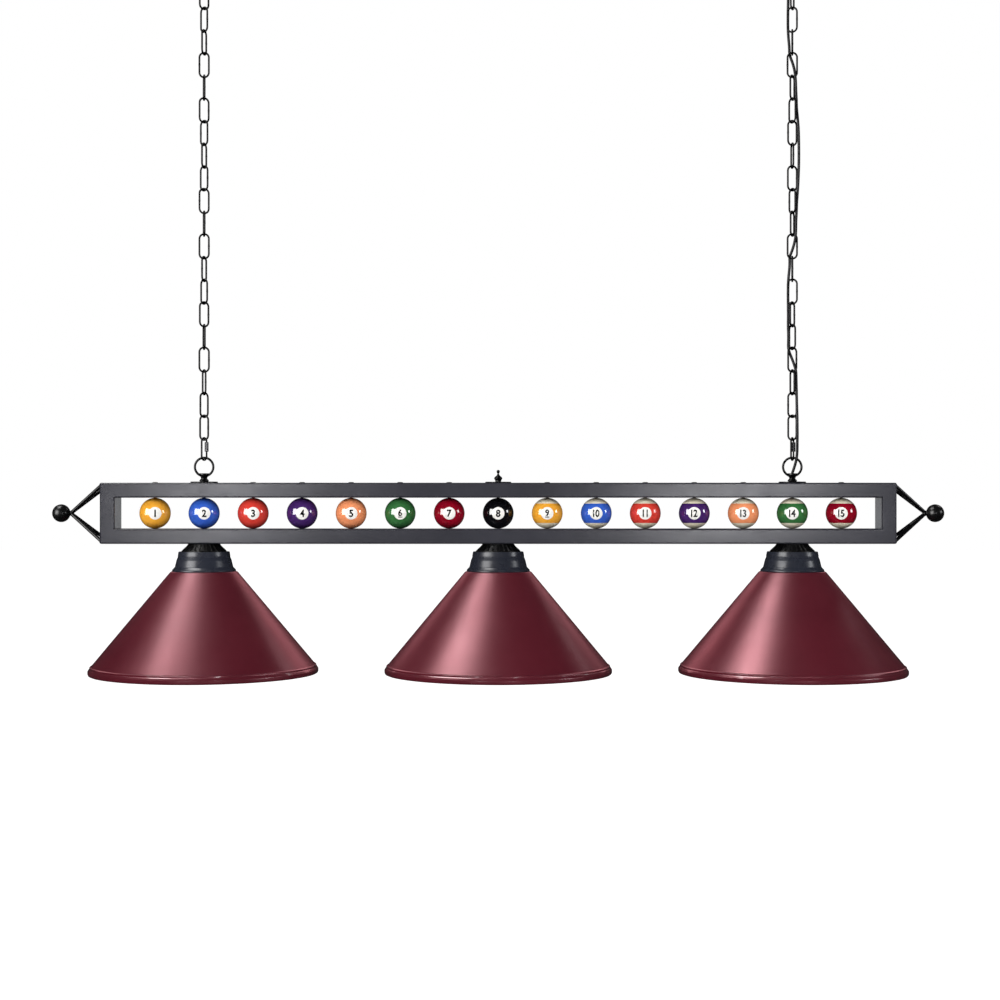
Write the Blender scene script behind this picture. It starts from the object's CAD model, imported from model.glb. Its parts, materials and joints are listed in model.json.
# Pool table lamp: three cone shades under a beam that frames a row of numbered balls, hung from
# two canopies by chains, with the supply cord woven through the right one.
# +X runs along the beam, -Y is the front, +Z is up. The scene is in metres. Pieces are written
# in millimetres; materials, lights and camera in metres.
import json
import math

import bmesh
import bpy
from mathutils import Matrix, Vector, noise

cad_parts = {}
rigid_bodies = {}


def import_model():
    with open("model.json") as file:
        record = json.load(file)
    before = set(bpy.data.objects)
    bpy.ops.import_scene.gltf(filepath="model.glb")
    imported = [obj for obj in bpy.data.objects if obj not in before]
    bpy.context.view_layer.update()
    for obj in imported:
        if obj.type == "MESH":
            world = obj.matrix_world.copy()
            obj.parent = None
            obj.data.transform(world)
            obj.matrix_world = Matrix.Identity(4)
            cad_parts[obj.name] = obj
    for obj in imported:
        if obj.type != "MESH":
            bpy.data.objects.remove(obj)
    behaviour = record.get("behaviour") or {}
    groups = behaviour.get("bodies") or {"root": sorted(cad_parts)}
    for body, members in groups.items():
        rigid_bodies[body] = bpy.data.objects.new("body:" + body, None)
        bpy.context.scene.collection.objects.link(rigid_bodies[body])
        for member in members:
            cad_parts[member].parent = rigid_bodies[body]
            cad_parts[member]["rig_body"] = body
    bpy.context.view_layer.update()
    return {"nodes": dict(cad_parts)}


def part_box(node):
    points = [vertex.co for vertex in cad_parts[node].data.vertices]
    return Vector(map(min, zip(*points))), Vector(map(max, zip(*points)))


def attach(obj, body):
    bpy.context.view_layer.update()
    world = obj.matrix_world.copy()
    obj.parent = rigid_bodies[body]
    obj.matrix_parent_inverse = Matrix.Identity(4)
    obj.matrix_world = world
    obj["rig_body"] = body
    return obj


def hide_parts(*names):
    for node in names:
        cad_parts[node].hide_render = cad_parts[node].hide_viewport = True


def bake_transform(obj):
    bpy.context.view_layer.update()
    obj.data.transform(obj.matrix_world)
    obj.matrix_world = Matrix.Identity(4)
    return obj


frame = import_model()
scene = bpy.context.scene
MM = 0.001


def body_of(node):
    return frame["nodes"][node]["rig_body"]


def low(node):
    """Low corner of a CAD node's box, in mm."""
    return [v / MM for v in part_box(node)[0]]


def high(node):
    return [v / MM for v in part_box(node)[1]]


def mid(node):
    return [(a + b) / 2 / MM for a, b in zip(*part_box(node))]


# ---------------------------------------------------------------- driving places and sizes
BEAM_Z = mid("ball_08")[2]
HALF_L, HALF_D = high("beam_frame")[:2]
HALF_H = 51.0
BAR = 25.0                      # face height of the beam's tube
BEAM_TOP, BEAM_LOW = BEAM_Z + HALF_H, BEAM_Z - HALF_H

BALL_X = [mid(f"ball_{i:02d}")[0] for i in range(1, 16)]
BALL_BORE = 2.8                 # radius of the hole for the screw
BALL_R = math.hypot((high("ball_08")[2] - low("ball_08")[2]) / 2, BALL_BORE)
KNOB_R = 15.0
KNOB_X = high("right_end_knob")[0] - KNOB_R

SIDE_X = {side: mid(side + "_canopy")[0] for side in ("left", "right")}
SHADE_X = {side: mid(side + "_shade")[0] for side in ("left", "middle", "right")}
CANOPY_Z, CEILING_Z = low("left_canopy")[2], high("left_canopy")[2]

RING_R, RING_WIRE = 15.5, 1.95  # rings of the screw loops
RING_Z = high("left_hanger_loop")[2] - RING_R - RING_WIRE
TOP_RING_Z = low("left_canopy_loop")[2] + RING_R + RING_WIRE

WIRE, LINK_W = 1.6, 15.8        # wire radius; link width between wire centres
PITCH, LINKS = 38.1, 21
PLAY = 0.15                     # clearance where a link meets another piece
CHAIN_Z0 = 393.5
CHAIN_Z1 = CHAIN_Z0 + LINKS * PITCH
QUICK_W, QUICK_TURN = 13.4, 62  # quick link width; its turn about Z in degrees
QUICK_GAP = (381.5, 386.5)      # heights of the two threaded ends
CORD_R = 2.35

EYE_DISTANCE = 2858.0           # from the camera to the beam


# ---------------------------------------------------------------- material tools
def srgb(*channels):
    """Linear colour from 0-255 sRGB channels."""
    out = []
    for c in channels:
        c /= 255
        out.append(c / 12.92 if c <= 0.04045 else ((c + 0.055) / 1.055) ** 2.4)
    return (*out, 1.0)


SOCKETS = {
    "colour": "Base Color", "rough": "Roughness", "metal": "Metallic", "normal": "Normal",
    "ior": "IOR", "coat": "Coat Weight", "coat_rough": "Coat Roughness",
    "spec": "Specular IOR Level", "glow": "Emission Strength", "glow_colour": "Emission Color",
}


class Material:
    """A Principled material. Values may be numbers, colours or node outputs."""

    def __init__(self, name):
        self.data = bpy.data.materials.new(name)
        self.data.use_nodes = True
        self.tree = self.data.node_tree
        self.tree.nodes.clear()
        out = self.add("OutputMaterial")
        self.principled = self.add("BsdfPrincipled")
        self.tree.links.new(self.principled.outputs[0], out.inputs[0])
        self.raw = self.add("TexCoord").outputs["Object"]
        # textures are shifted by each object's random number, so no two pieces look the same
        random = self.add("ObjectInfo").outputs["Random"]
        shift = self.vector("MULTIPLY", self.combine(random, random, random), (3.1, 5.7, 1.9))
        self.place = self.vector("ADD", self.raw, shift)

    def add(self, kind):
        return self.tree.nodes.new("ShaderNode" + kind)

    def put(self, socket, value):
        if isinstance(value, bpy.types.NodeSocket):
            self.tree.links.new(value, socket)
        else:
            socket.default_value = value

    def vector(self, operation, a, b=(0, 0, 0)):
        node = self.add("VectorMath")
        node.operation = operation
        self.put(node.inputs[0], a)
        self.put(node.inputs[1], b)
        scalar = operation in ("DOT_PRODUCT", "LENGTH")
        return node.outputs["Value" if scalar else "Vector"]

    def combine(self, x, y, z):
        node = self.add("CombineXYZ")
        for socket, value in zip(node.inputs, (x, y, z)):
            self.put(socket, value)
        return node.outputs[0]

    def split(self, vector):
        node = self.add("SeparateXYZ")
        self.put(node.inputs[0], vector)
        return node.outputs

    def math(self, operation, a, b=0.0):
        node = self.add("Math")
        node.operation = operation
        self.put(node.inputs[0], a)
        self.put(node.inputs[1], b)
        return node.outputs[0]

    def times(self, a, b):
        return self.math("MULTIPLY", a, b)

    def plus(self, a, b):
        return self.math("ADD", a, b)

    def noise(self, scale, detail=3.0, rough=0.5, stretch=None, distort=0.0):
        node = self.add("TexNoise")
        node.inputs["Scale"].default_value = scale
        node.inputs["Detail"].default_value = detail
        node.inputs["Roughness"].default_value = rough
        node.inputs["Distortion"].default_value = distort
        place = self.vector("MULTIPLY", self.place, stretch) if stretch else self.place
        self.tree.links.new(place, node.inputs["Vector"])
        return node.outputs["Fac"]

    def specks(self, scale, size):
        """1 at the middle of each cell, falling to 0 at size."""
        node = self.add("TexVoronoi")
        node.inputs["Scale"].default_value = scale
        self.tree.links.new(self.place, node.inputs["Vector"])
        return self.remap(node.outputs["Distance"], (0.0, size), (1.0, 0.0))

    def remap(self, value, span, out=(0.0, 1.0)):
        node = self.add("MapRange")
        node.clamp = True
        for socket, given in zip(node.inputs, (value, *span, *out)):
            self.put(socket, given)
        return node.outputs[0]

    def patches(self, scale, detail=4, rough=0.6, span=(0.3, 0.7), out=(0.0, 1.0), **more):
        """Noise with its span stretched to out."""
        return self.remap(self.noise(scale, detail, rough, **more), span, out)

    def mix(self, factor, a, b):
        node = self.add("Mix")
        node.data_type = "RGBA"
        self.put(node.inputs["Factor"], factor)
        self.put(node.inputs[6], a)
        self.put(node.inputs[7], b)
        return node.outputs[2]

    def mottle(self, a, b, scale, **more):
        """Two colours in soft patches."""
        return self.mix(self.patches(scale, **more), a, b)

    def tint(self, base, colour, mask, amount):
        """Lays a colour over base by amount where the mask is 1."""
        return self.mix(self.times(mask, amount), base, colour)

    def bump(self, height, distance):
        node = self.add("Bump")
        node.inputs["Distance"].default_value = distance
        self.put(node.inputs["Height"], height)
        return node.outputs[0]

    def edge(self, radius, span=(0.995, 0.93)):
        """0 on flats, rising to 1 along edges."""
        bevel = self.add("Bevel")
        bevel.samples = 4
        bevel.inputs["Radius"].default_value = radius
        normal = self.add("NewGeometry").outputs["Normal"]
        return self.remap(self.vector("DOT_PRODUCT", bevel.outputs[0], normal), span)

    def facing(self):
        """0 where the surface faces the eye, 1 where it is seen edge on."""
        node = self.add("LayerWeight")
        node.inputs["Blend"].default_value = 0.5
        return node.outputs["Facing"]

    def up(self):
        """0 to 1 as the surface faces up."""
        normal = self.add("NewGeometry").outputs["Normal"]
        return self.remap(self.split(normal)[2], (0.75, 1.0))

    def set(self, **values):
        for key, value in values.items():
            self.put(self.principled.inputs[SOCKETS[key]], value)
        return self.data


# ---------------------------------------------------------------- materials
def painted(name, dark, light, worn, rough, peel, wear, spec=0.5, coat=0.0, dust=0.05,
            peel_scale=700.0, edge_radius=0.0009, smear=1.0, even=0.0):
    """Powder coat or lacquer: uneven tone, orange peel, rubbed edges, dust on top.

    peel is the bump depth, wear the strength of the worn edges, even the least edge wear and
    smear the spread of the roughness.
    """
    mat = Material(name)
    tone = mat.patches(7)
    fine = mat.noise(peel_scale, detail=2)
    grain = mat.noise(peel_scale * 3.1, detail=2, rough=0.6)
    smudge = mat.patches(34, detail=5, rough=0.65, span=(0.42, 0.72), distort=0.6)
    speck = mat.specks(peel_scale * 0.22, size=0.09)
    base = mat.mix(tone, dark, light)
    base = mat.tint(base, worn, speck, amount=0.18)
    rub = mat.patches(160, rough=0.7, span=(0.35, 0.75), out=(even, 1.0))
    base = mat.tint(base, worn, mat.times(mat.edge(edge_radius), rub), amount=wear)
    film = mat.patches(60, detail=5, rough=0.7, span=(0.3, 0.8), out=(0.3, 1.0))
    dusty = mat.times(mat.up(), film)
    base = mat.tint(base, (0.42, 0.40, 0.37, 1), dusty, amount=dust)
    smeared = mat.remap(smudge, (0, 1), (rough - 0.05 * smear, rough + 0.07 * smear))
    height = mat.plus(fine, mat.times(grain, 0.35))
    return mat.set(colour=base, rough=mat.plus(smeared, mat.times(dusty, 0.12)),
                   normal=mat.bump(height, peel), coat=coat, coat_rough=0.12, spec=spec)


BEAM_PAINT = painted(
    "beam_powder_coat", dark=srgb(44, 44, 51), light=srgb(54, 54, 62), worn=srgb(12, 12, 15),
    rough=0.235, peel=0.000015, wear=0.95, edge_radius=0.0026, dust=0.02, smear=0.35, even=0.7)
BLACK_PAINT = painted(
    "black_powder_coat", dark=srgb(5, 5, 6), light=srgb(10, 10, 12), worn=srgb(48, 50, 56),
    rough=0.26, peel=0.000004, wear=0.3, spec=0.17)
CUP_PAINT = painted(
    "fitter_powder_coat", dark=srgb(31, 33, 41), light=srgb(41, 44, 54),
    worn=srgb(104, 110, 126), rough=0.30, peel=0.000006, wear=0.45, spec=0.25)
VENT_PAINT = painted(
    "vent_powder_coat", dark=srgb(5, 5, 6), light=srgb(9, 9, 10), worn=srgb(44, 46, 50),
    rough=0.42, peel=0.00001, wear=0.3, spec=0.12)
CHAIN_PAINT = painted(
    "chain_lacquer", dark=srgb(4, 4, 5), light=srgb(9, 9, 11), worn=srgb(48, 47, 46),
    rough=0.30, peel=0.000004, wear=0.4, edge_radius=0.0004, dust=0.01, spec=0.13)
SLEEVE_PAINT = painted(
    "sleeve_lacquer", dark=srgb(22, 23, 26), light=srgb(36, 37, 41), worn=srgb(110, 110, 114),
    rough=0.26, peel=0.000005, wear=0.5, coat=0.2, edge_radius=0.0005, dust=0.02)
KNOB_PAINT = painted(
    "knob_lacquer", dark=srgb(8, 8, 9), light=srgb(13, 13, 14), worn=srgb(50, 50, 54),
    rough=0.30, peel=0.000004, wear=0.25, peel_scale=500.0, dust=0.03, spec=0.26)


def shade_outside():
    mat = Material("shade_enamel_outside")
    base = mat.mottle((0.104, 0.0078, 0.0175, 1), (0.128, 0.0120, 0.0235, 1), scale=9)
    base = mat.tint(base, srgb(128, 48, 62), mat.specks(900, size=0.16), amount=0.16)
    rub = mat.patches(150, rough=0.7, span=(0.4, 0.75))
    worn = mat.times(mat.edge(0.0025, span=(0.99, 0.9)), rub)
    base = mat.tint(base, srgb(150, 70, 84), worn, amount=0.25)
    # the enamel deepens where it turns away from the eye
    rim = mat.remap(mat.facing(), (0.80, 0.98))
    base = mat.tint(base, (0.02, 0.002, 0.004, 1), rim, amount=0.6)
    spun = mat.noise(420, detail=2, stretch=(0.02, 0.02, 1.0))
    peel = mat.noise(520, detail=2)
    # the upper cone is rougher; the rolled lip at the foot is glossier
    height_z = mat.split(mat.raw)[2]
    smudge = mat.patches(26, detail=5, rough=0.65, span=(0.3, 0.75), out=(0.31, 0.37),
                         distort=0.4)
    rough = mat.plus(smudge, mat.remap(height_z, (0.05, 0.17), (0.0, 0.07)))
    lip = mat.remap(height_z, (0.0150, 0.0130), (0.0, 0.5))
    height = mat.plus(mat.times(spun, 0.45), peel)
    return mat.set(colour=base, rough=rough, normal=mat.bump(height, 0.00002), metal=0.32,
                   coat=lip, coat_rough=0.09, spec=mat.remap(rim, (0.0, 1.0), (0.5, 0.12)))


def shade_inside():
    """White enamel, a little yellowed near the lamp."""
    mat = Material("shade_enamel_inside")
    base = mat.mottle(srgb(226, 224, 217), srgb(240, 239, 234), scale=8)
    x, y = mat.split(mat.raw)[:2]
    from_axis = mat.vector("LENGTH", mat.combine(x, y, 0.0))
    warm = mat.times(mat.remap(from_axis, (0.07, 0.03)), mat.patches(40, out=(0.5, 1.0)))
    base = mat.tint(base, srgb(206, 190, 160), warm, amount=0.35)
    return mat.set(colour=base, rough=mat.patches(30, out=(0.32, 0.44)),
                   normal=mat.bump(mat.noise(600, detail=2), 0.00006))


def zinc_steel():
    mat = Material("zinc_plate")
    brushed = mat.noise(900, rough=0.6, stretch=(1, 0.05, 1))
    base = mat.mottle(srgb(168, 170, 174), srgb(202, 203, 206), scale=30, detail=5, rough=0.7)
    stain = mat.patches(120, detail=5, rough=0.7, span=(0.55, 0.75))
    base = mat.tint(base, srgb(150, 146, 136), stain, amount=0.4)
    return mat.set(colour=base, metal=1.0, rough=mat.remap(brushed, (0.3, 0.7), (0.26, 0.42)),
                   normal=mat.bump(brushed, 0.00005))


def phenolic():
    mat = Material("socket_phenolic")
    base = mat.mottle(srgb(26, 26, 28), srgb(40, 40, 42), scale=60)
    base = mat.tint(base, srgb(90, 90, 92), mat.edge(0.001), amount=0.3)
    return mat.set(colour=base, rough=mat.patches(90, out=(0.42, 0.56)),
                   normal=mat.bump(mat.noise(1500, rough=0.6), 0.00008))


def opal_glass():
    mat = Material("bulb_opal_glass")
    base = mat.mottle(srgb(232, 231, 225), srgb(246, 245, 240), scale=20, detail=3, rough=0.5)
    return mat.set(colour=base, rough=mat.patches(50, out=(0.16, 0.26)), coat=0.3,
                   normal=mat.bump(mat.noise(1800, detail=2), 0.00002))


def cap_metal():
    mat = Material("bulb_cap_metal")
    base = mat.mottle(srgb(176, 172, 160), srgb(206, 203, 194), scale=80)
    return mat.set(colour=base, metal=1.0, rough=mat.patches(200, out=(0.25, 0.4)),
                   normal=mat.bump(mat.noise(900, rough=0.6), 0.00004))


def cord_vinyl():
    mat = Material("cord_jacket_vinyl")
    base = mat.mottle(srgb(9, 9, 12), srgb(18, 18, 23), scale=25)
    scuff = mat.patches(260, rough=0.7, span=(0.58, 0.75), stretch=(1, 1, 0.12))
    base = mat.tint(base, srgb(52, 52, 60), scuff, amount=0.25)
    ripple = mat.noise(900, detail=2, stretch=(1, 1, 0.3))
    return mat.set(colour=base, rough=mat.patches(60, out=(0.36, 0.5)),
                   normal=mat.bump(ripple, 0.000008), spec=0.2)


def ball_resin(kind, dark, light, striped):
    """Polished resin with a white disc front and back; a striped ball has cream ends."""
    mat = Material("ball_" + kind + ("_stripe" if striped else ""))
    x, _, z = mat.split(mat.raw)[:3]
    colour = mat.mottle(dark, light, scale=55, rough=0.55, span=(0.25, 0.75), distort=1.2)
    if striped:
        cream = mat.mottle(srgb(246, 234, 204), srgb(252, 244, 222), scale=70)
        ends = mat.remap(mat.math("ABSOLUTE", z), (0.01622, 0.01642))
        colour = mat.mix(ends, colour, cream)
    white = mat.mottle(srgb(248, 246, 240), srgb(254, 253, 250), scale=90, detail=3)
    from_middle = mat.vector("LENGTH", mat.combine(x, z, 0.0))
    colour = mat.mix(mat.remap(from_middle, (0.01035, 0.01055), (1.0, 0.0)), colour, white)
    scratch = mat.patches(140, detail=6, rough=0.75, span=(0.6, 0.72), stretch=(1, 0.12, 1))
    rough = mat.plus(mat.patches(45, out=(0.05, 0.09)), mat.times(scratch, 0.05))
    height = mat.plus(mat.noise(300), mat.times(scratch, 0.4))
    return mat.set(colour=colour, rough=rough, ior=1.62, coat=0.0,
                   normal=mat.bump(height, 0.000012))


def number_ink():
    mat = Material("ball_number_ink")
    base = mat.mottle(srgb(6, 6, 8), srgb(14, 14, 16), scale=200)
    return mat.set(colour=base, rough=mat.patches(150, detail=3, out=(0.08, 0.14)),
                   normal=mat.bump(mat.noise(500), 0.00001))


SHADE_OUT, SHADE_IN = shade_outside(), shade_inside()
STEEL, PHENOLIC, OPAL, CAP_METAL = zinc_steel(), phenolic(), opal_glass(), cap_metal()
CORD_VINYL = cord_vinyl()
INK = number_ink()


# ---------------------------------------------------------------- mesh tools
# A shape is a pair (vertices in mm, faces).
to_settle = []      # pieces whose normals settle_normals() weights at the end


def build(name, shape, material, body="fixture", x=0, z=0, turn=0,
          sharp=32, pick=None, settle=True, replaces=None):
    """Makes a piece at (x, 0, z), turned about Z by turn radians.

    material may be a list; pick(face centre in mm, normal) then gives the index. A piece whose
    body is None is left unattached. replaces is the CAD node it stands in for.
    """
    verts, faces = shape
    mesh = bpy.data.meshes.new(name)
    mesh.from_pydata([Vector(v) * MM for v in verts], [], faces)
    for each in material if isinstance(material, list) else [material]:
        mesh.materials.append(each)
    work = bmesh.new()
    work.from_mesh(mesh)
    bmesh.ops.remove_doubles(work, verts=work.verts, dist=1e-7)
    bmesh.ops.recalc_face_normals(work, faces=work.faces)
    if pick:
        for face in work.faces:
            face.material_index = pick(face.calc_center_median() / MM, face.normal)
    work.to_mesh(mesh)
    work.free()
    mesh.polygons.foreach_set("use_smooth", [True] * len(mesh.polygons))
    mesh.set_sharp_from_angle(angle=math.radians(sharp))
    mesh.update()
    piece = bpy.data.objects.new(name, mesh)
    scene.collection.objects.link(piece)
    piece.location = Vector((x, 0, z)) * MM
    piece.rotation_euler = (0, 0, turn)
    if body is not None:
        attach(piece, body)
        if settle:
            to_settle.append(piece)
    if replaces:
        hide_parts(replaces)
    return piece


def fillet(points, steps=4, closed=True):
    """Rounds the corners of a profile of (r, z) or (r, z, rounding radius)."""
    out, count = [], len(points)
    for i, point in enumerate(points):
        corner = Vector(point[:2])
        rounding = point[2] if len(point) > 2 else 0
        if rounding <= 0 or (not closed and i in (0, count - 1)):
            out.append(tuple(corner))
            continue
        back = Vector(points[i - 1][:2]) - corner
        ahead = Vector(points[(i + 1) % count][:2]) - corner
        back_length, ahead_length = back.length, ahead.length
        back.normalize()
        ahead.normalize()
        angle = back.angle(ahead)
        if angle > math.pi - 0.02 or angle < 0.02:
            out.append(tuple(corner))
            continue
        # the rounding takes less than half of either neighbouring edge
        cut = min(rounding / math.tan(angle / 2), 0.48 * back_length, 0.48 * ahead_length)
        radius = cut * math.tan(angle / 2)
        centre = corner + (back + ahead).normalized() * (radius / math.sin(angle / 2))
        first, last = corner + back * cut - centre, corner + ahead * cut - centre
        start = math.atan2(first.y, first.x)
        sweep = math.atan2(last.y, last.x) - start
        sweep = (sweep + math.pi) % (2 * math.pi) - math.pi
        for k in range(steps + 1):
            a = start + sweep * k / steps
            out.append((centre.x + radius * math.cos(a), centre.y + radius * math.sin(a)))
    return out


def raised(points, z, sign=1):
    """A profile written from height 0, moved to height z; sign -1 turns it over."""
    return [(radius, z + sign * height, *rest) for radius, height, *rest in points]


def lathe(profile, segments, closed=True, warp=None):
    """Turns a profile about Z. warp(row, angle, r, z) may move each point."""
    verts, rows = [], []
    for j, (radius, height) in enumerate(profile):
        if radius < 1e-6:
            rows.append([len(verts)] * segments)
            verts.append((0, 0, height))
            continue
        row = []
        for i in range(segments):
            angle = 2 * math.pi * i / segments
            r, z = warp(j, angle, radius, height) if warp else (radius, height)
            row.append(len(verts))
            verts.append((r * math.cos(angle), r * math.sin(angle), z))
        rows.append(row)
    faces = []
    count = len(profile)
    for j in range(count if closed else count - 1):
        a, b = rows[j], rows[(j + 1) % count]
        if a[0] == a[-1] and b[0] == b[-1]:
            continue
        for i in range(segments):
            quad = [a[i], a[(i + 1) % segments], b[(i + 1) % segments], b[i]]
            quad = [v for k, v in enumerate(quad) if v != quad[k - 1]]
            if len(quad) > 2:
                faces.append(quad)
    return verts, faces


def hexagon(angle):
    """Divide a hexagon's half width across flats by this to reach its outline."""
    return math.cos((angle % (math.pi / 3)) - math.pi / 6)


def tube(points, radius, sides=14, closed=False, first=None, start_x=None):
    """Round bar along points, with one radius or one per point.

    first sets the side the rings start from. start_x cuts the first end square to X there.
    """
    points = [Vector(p) for p in points]
    count = len(points)
    radii = radius if isinstance(radius, list) else [radius] * count
    tangents = []
    for i in range(count):
        a = points[i - 1] if (i > 0 or closed) else points[i]
        b = points[(i + 1) % count] if (i < count - 1 or closed) else points[i]
        tangents.append((b - a).normalized())
    if first is None:
        first = (0, 0, 1) if abs(tangents[0].z) < 0.9 else (1, 0, 0)
    first = Vector(first)
    normal = (first - tangents[0] * first.dot(tangents[0])).normalized()
    verts, faces = [], []
    for i, tangent in enumerate(tangents):
        normal = (normal - tangent * normal.dot(tangent)).normalized()
        across = tangent.cross(normal)
        for k in range(sides):
            a = 2 * math.pi * k / sides
            p = points[i] + (normal * math.cos(a) + across * math.sin(a)) * radii[i]
            if start_x is not None and i == 0:
                p = p + tangent * ((start_x - p.x) / tangent.x)
            verts.append(tuple(p))
    for i in range(count if closed else count - 1):
        j = (i + 1) % count
        for k in range(sides):
            m = (k + 1) % sides
            faces.append([i * sides + k, i * sides + m, j * sides + m, j * sides + k])
    if not closed:
        faces.append(list(range(sides))[::-1])
        faces.append(list(range((count - 1) * sides, count * sides)))
    return verts, faces


def laid(shape, sign, start=0):
    """A turned shape laid along X from start, pointing out on the side of sign."""
    return [(sign * (start + z), sign * y, x) for x, y, z in shape[0]], shape[1]


def two_layers(sheet):
    """Faces of a closed body: a flat sheet, its copy in a second run of vertices, and walls."""
    count = len(sheet.verts)
    faces = []
    for face in sheet.faces:
        ids = [v.index for v in face.verts]
        faces += [ids, [i + count for i in reversed(ids)]]
    for edge in sheet.edges:
        if len(edge.link_faces) == 1:
            loop = edge.link_loops[0]
            a, b = loop.vert.index, loop.link_loop_next.vert.index
            faces.append([b, a, a + count, b + count])
    return faces


def catmull(points, step):
    """A smooth curve through points, sampled about every step mm."""
    points = [Vector(p) for p in points]
    padded = [points[0] * 2 - points[1]] + points + [points[-1] * 2 - points[-2]]
    out = []
    for i in range(1, len(padded) - 2):
        a, b, c, d = padded[i - 1:i + 3]
        count = max(1, round((c - b).length / step))
        for k in range(count):
            t = k / count
            out.append(0.5 * ((2 * b) + (c - a) * t + (2 * a - 5 * b + 4 * c - d) * t * t
                              + (3 * b - a - 3 * c + d) * t ** 3))
    out.append(points[-1])
    return out


# ---------------------------------------------------------------- beam
def corners(half_x, half_z):
    return [(-half_x, -half_z), (half_x, -half_z), (half_x, half_z), (-half_x, half_z)]


def beam_frame():
    """Welded frame of rectangular tube."""
    inner_x = HALF_L - BAR
    outline = list(zip(corners(HALF_L, HALF_H), corners(inner_x, HALF_H - BAR)))
    work = bmesh.new()
    rims = []
    for y in (-HALF_D, HALF_D):
        pairs = [[work.verts.new((x, y, z)) for x, z in pair] for pair in outline]
        rims.append(zip(*pairs))
    (front_out, front_in), (back_out, back_in) = rims
    for i in range(4):
        j = (i + 1) % 4
        work.faces.new([front_out[i], front_out[j], front_in[j], front_in[i]])
        work.faces.new([back_out[j], back_out[i], back_in[i], back_in[j]])
        work.faces.new([front_out[j], front_out[i], back_out[i], back_out[j]])
        work.faces.new([front_in[i], front_in[j], back_in[j], back_in[i]])
    bmesh.ops.recalc_face_normals(work, faces=work.faces)
    # rounded tube edges all round; the inner corners stay crisp where the tubes are welded
    edges = []
    for edge in work.edges:
        if len(edge.link_faces) != 2 or edge.calc_face_angle() < 0.5:
            continue
        a, b = (vert.co for vert in edge.verts)
        if abs(a.y - b.y) > 1 and abs(abs(a.x) - inner_x) < 0.01:
            continue
        edges.append(edge)
    bmesh.ops.bevel(work, geom=edges, offset=2.4, segments=5, profile=0.5, affect="EDGES",
                    clamp_overlap=True)
    # long faces are cut across, so that the mesh stays even along the bars
    for x in range(-600, 601, 50):
        bmesh.ops.bisect_plane(work, geom=work.verts[:] + work.edges[:] + work.faces[:],
                               plane_co=(x, 0, 0), plane_no=(1, 0, 0))
    work.verts.index_update()
    shape = ([tuple(vert.co) for vert in work.verts],
             [[vert.index for vert in face.verts] for face in work.faces])
    work.free()
    build("beam_tube_frame", shape, BEAM_PAINT, z=BEAM_Z, sharp=28,
          replaces="beam_frame")


PAN_HEAD = [        # r, height over the beam, rounding
    (0, 0.55), (1.45, 0.55, 0.1), (1.45, 1.38, 0.12), (2.9, 1.36), (4.35, 1.0, 0.5),
    (4.8, 0.2, 0.3), (4.8, -0.05), (2.5, -0.05),
]


def socket_hexagon(row, angle, r, z):
    """Makes the recess in a pan head hexagonal."""
    if r < 1.7 and z > BEAM_TOP + 0.5:
        return r * 1.12 * math.cos(math.pi / 6) / hexagon(angle), z
    return r, z


def ball_screw(number, x):
    """Screw through a ball; those under the shade fittings have no head."""
    foot = raised([(2.5, 19.5), (2.2, 19), (0, 19)], BEAM_LOW)
    if min(abs(x - shade_x) for shade_x in SHADE_X.values()) < 1:
        tip = raised([(0, -20), (2.3, -20), (2.5, -20.4)], BEAM_TOP)
        shape = lathe(tip + foot, 16, closed=False)
    else:
        profile = fillet(raised(PAN_HEAD, BEAM_TOP) + foot, 3, closed=False)
        shape = lathe(profile, 36, closed=False, warp=socket_hexagon)
    build(f"ball_screw_{number:02d}", shape, BLACK_PAINT, x=x)


beam_frame()
for number, x in enumerate(BALL_X, 1):
    ball_screw(number, x)


# ---------------------------------------------------------------- end brackets and knobs
SPOKE_FOOT_X = HALF_L + 0.05
SPOKE_TIP_X, SPOKE_R = 717.0, 3.0
HUB_START = 713.5
HUB = [             # r, distance from the hub's start, rounding
    (0, 0), (3.2, 0.2, 0.8), (4.6, 2, 0.9), (4.6, 4.9, 0.5), (4.2, 5.6, 0.3), (2.5, 5.8, 0.2),
    (2.5, 12.5), (0, 12.5),
]
KNOB_NECK_R = 4.6


def weld_ring(foot, along, number, sign):
    """Centre line and radii of the lumpy bead round the foot of a rod."""
    across = along.cross(Vector((0, 0, 1))).normalized()
    upward = across.cross(along).normalized()
    count = 36
    ring, radii = [], []
    for k in range(count):
        angle = 2 * math.pi * k / count
        p = foot + (across * math.cos(angle) + upward * math.sin(angle)) * (SPOKE_R + 0.15)
        p = p + along * ((SPOKE_FOOT_X + 0.15 - p.x) / along.x)
        p.y = max(-HALF_D + 0.6, min(HALF_D - 0.6, p.y))
        ring.append(p)
        lump = noise.noise(Vector((k * 0.7, number * 3.0, sign)))
        radii.append(0.62 + 0.16 * math.sin(angle * 9 + number) + 0.06 * lump)
    return ring, radii


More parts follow.
